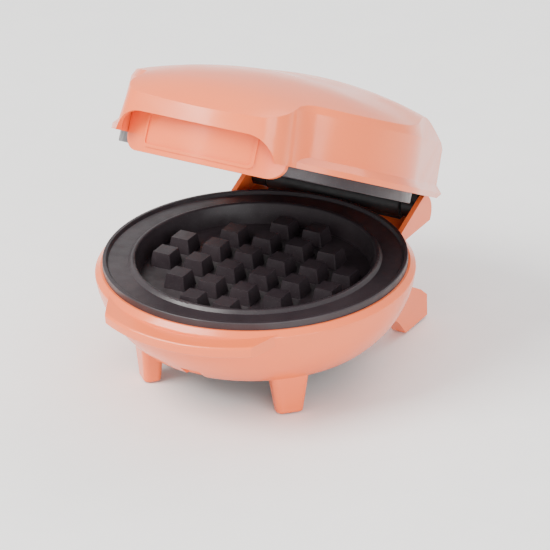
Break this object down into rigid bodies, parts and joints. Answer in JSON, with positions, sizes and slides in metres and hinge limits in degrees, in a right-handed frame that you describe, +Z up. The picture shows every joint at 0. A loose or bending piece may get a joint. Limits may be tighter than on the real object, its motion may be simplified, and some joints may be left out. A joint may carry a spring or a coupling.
{
  "type": "waffle maker",
  "caption": "Small round waffle maker with a domed hinged lid, non-stick waffle plates, a hooded front grip and splayed feet.",
  "frame": {"origin": "on the floor, below the middle of the whole appliance with its lid in the stored pose", "axes": "+Z up, -Y towards the front where the handle is, +X to the right"},
  "size_m": [0.1344, 0.1684, 0.1399],
  "materials": {
    "peach_plastic": "polished peach plastic",
    "non_stick": "dark non-stick coating on cast aluminium",
    "black_plastic": "fine satin texture",
    "black_rubber": "matte",
    "steel": "zinc plated",
    "heater_sheath": "oxidised sheath",
    "bright_aluminium": "bright rolled sheet",
    "white_insulator": "heat-resistant insulation",
    "red_lens": "clear tinted",
    "green_lens": "clear tinted",
    "lamp_glass": "clear"
  },
  "bodies": {
    "base": {"base_housing": "peach_plastic", "foot_pads": "black_rubber", "bottom_cover": "black_plastic", "cover_screws": "steel", "cord_bush": "black_rubber", "lower_plate": "non_stick", "hinge_pin_left": "steel", "hinge_pin_right": "steel", "hinge_barrel": "black_plastic", "hinge_sleeve": "steel", "lower_element": "heater_sheath", "lower_reflector": "bright_aluminium", "lower_plate_screws": "steel", "thermostat": "steel", "thermal_fuse": "bright_aluminium", "terminal_block": "white_insulator", "base_wiring": "white_insulator"},
    "lid": {"lid_housing": "peach_plastic", "handle_flap": "peach_plastic", "upper_plate": "non_stick", "upper_element": "heater_sheath", "upper_reflector": "bright_aluminium", "upper_plate_clips": "steel", "power_lens": "red_lens", "ready_lens": "green_lens", "power_lamp": "lamp_glass", "ready_lamp": "lamp_glass", "hinge_arm_left": "black_plastic", "hinge_arm_right": "black_plastic", "hinge_arm_screws": "steel", "lid_wiring": "white_insulator"}
  },
  "joints": [
    {"name": "lid_hinge", "type": "hinge", "parent": "base", "child": "lid", "pos_m": [0, 0.06199, 0.049], "axis": [-1, 0, 0], "range_deg": [-28.3, 70]}
  ]
}
